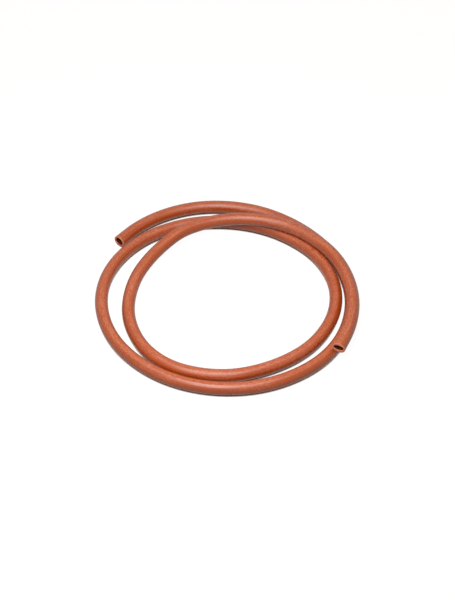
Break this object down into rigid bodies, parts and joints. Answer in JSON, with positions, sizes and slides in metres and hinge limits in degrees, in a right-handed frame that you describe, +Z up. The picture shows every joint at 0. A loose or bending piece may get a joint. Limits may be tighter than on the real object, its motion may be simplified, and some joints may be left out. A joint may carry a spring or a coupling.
{
  "type": "rubber gas tubing",
  "caption": "Plain thick-walled rubber hose with square-cut open ends, lying in a loose overlapping hank.",
  "frame": {"origin": "on the surface that the hank lies on, under the middle of its box", "axes": "+Z up, out of the flat hank; +X to the right and +Y away, seen from the side where both cut ends point left and near"},
  "size_m": [0.2434, 0.2486, 0.0243],
  "materials": {
    "rubber": "satin brick-red rubber with fine streaks along its length"
  },
  "bodies": {
    "root": {"tubing": "rubber"}
  },
  "joints": []
}
